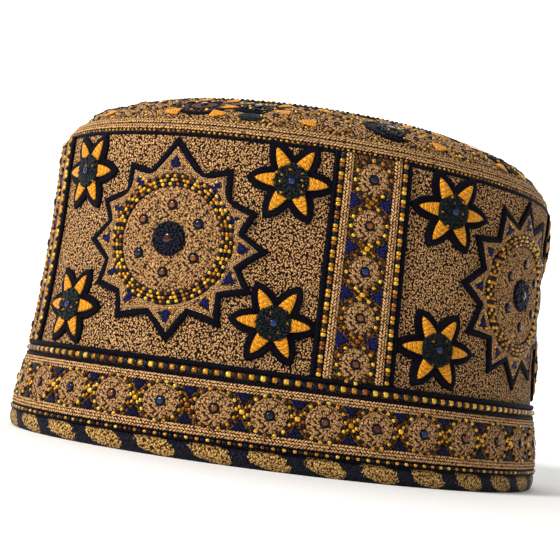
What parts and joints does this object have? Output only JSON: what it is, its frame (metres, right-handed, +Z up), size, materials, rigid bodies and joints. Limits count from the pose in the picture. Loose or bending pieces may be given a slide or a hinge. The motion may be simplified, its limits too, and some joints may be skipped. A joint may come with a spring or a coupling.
{
  "type": "balochi cap",
  "caption": "Oval embroidered cloth cap with a low crown, a belt of stitched roundels, dividing strips, stars and flowers; rests on its rolled hem.",
  "frame": {"origin": "middle of the oval hem, on the surface that the cap stands on", "axes": "+X along the oval's long axis, -Y the front, +Z up through the crown"},
  "size_m": [0.2112, 0.1742, 0.1355],
  "materials": {
    "tan_stitching": "tan knot stitching, dense and matt, with dark gaps",
    "braid_stitching": "tan corded braid, matt",
    "star_stitching": "tan knot stitching with small beads, matt",
    "navy_stitching": "navy satin stitch, low sheen",
    "gold_satin": "orange-gold satin stitch, soft sheen",
    "gold_bead": "gold seed bead, glossy",
    "navy_bead": "navy seed bead, glossy",
    "stone": "small cut stone, polished"
  },
  "bodies": {
    "root": {"side_band": "tan_stitching", "crown": "tan_stitching", "seam_braid": "braid_stitching", "rim_binding": "navy_stitching", "base_border": "braid_stitching", "strip_front": "braid_stitching", "strip_right": "braid_stitching", "strip_back": "braid_stitching", "strip_left": "braid_stitching", "star_front_left": "star_stitching", "star_front_right": "star_stitching", "star_back_right": "star_stitching", "star_back_left": "star_stitching", "flower_front_left_upper_1": "gold_satin", "flower_front_left_upper_2": "gold_satin", "flower_front_left_lower_1": "gold_satin", "flower_front_left_lower_2": "gold_satin", "flower_front_right_upper_1": "gold_satin", "flower_front_right_upper_2": "gold_satin", "flower_front_right_lower_1": "gold_satin", "flower_front_right_lower_2": "gold_satin", "flower_back_right_upper_1": "gold_satin", "flower_back_right_upper_2": "gold_satin", "flower_back_right_lower_1": "gold_satin", "flower_back_right_lower_2": "gold_satin", "flower_back_left_upper_1": "gold_satin", "flower_back_left_upper_2": "gold_satin", "flower_back_left_lower_1": "gold_satin", "flower_back_left_lower_2": "gold_satin"}
  },
  "joints": []
}
